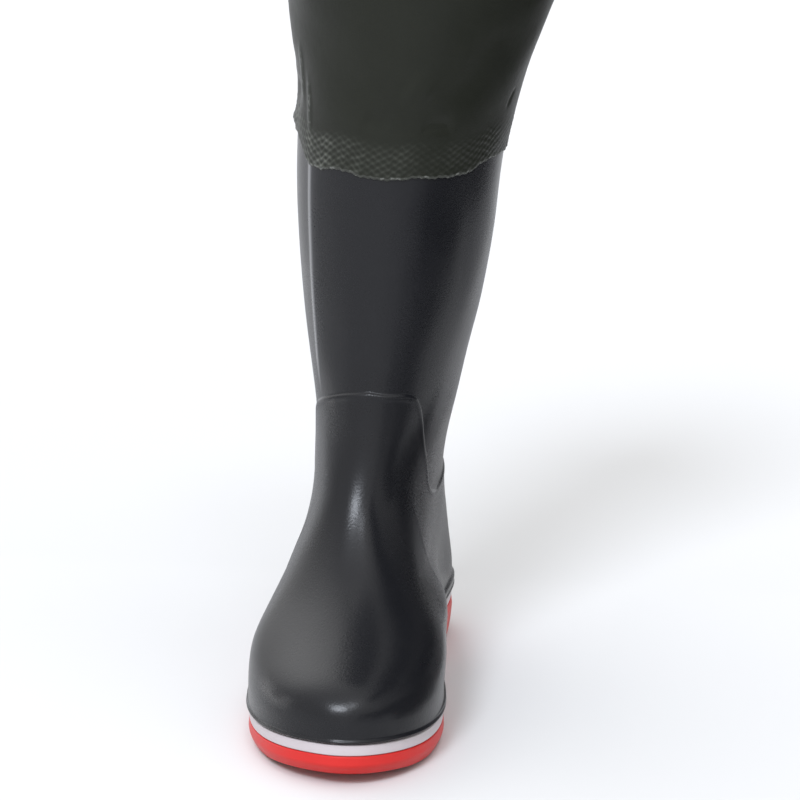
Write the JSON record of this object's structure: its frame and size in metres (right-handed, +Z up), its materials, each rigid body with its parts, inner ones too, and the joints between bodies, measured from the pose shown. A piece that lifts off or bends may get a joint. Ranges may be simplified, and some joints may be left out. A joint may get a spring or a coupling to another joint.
{
  "type": "wader boot",
  "caption": "Right wader boot: hollow black moulded foot and shaft with rand and ankle overlay, white midsole band, red heeled sole, and the green coated-fabric leg welded round its shaft.",
  "frame": {"origin": "on the floor, under the middle of the boot's bounding box", "axes": "+Z up along the shaft, -Y towards the toe, +X towards the medial side (the wearer's other foot)"},
  "size_m": [0.178, 0.3124, 0.44],
  "materials": {
    "black_rubber": "satin moulded PVC with a fine grain",
    "white_rubber": "smooth moulded PVC",
    "red_rubber": "satin moulded PVC",
    "grey_felt": "felted footbed",
    "green_coated_fabric": "semi-matt PVC-coated nylon"
  },
  "bodies": {
    "root": {"upper": "black_rubber", "midsole": "white_rubber", "outsole": "red_rubber", "insole": "grey_felt", "leg": "green_coated_fabric"}
  },
  "joints": []
}
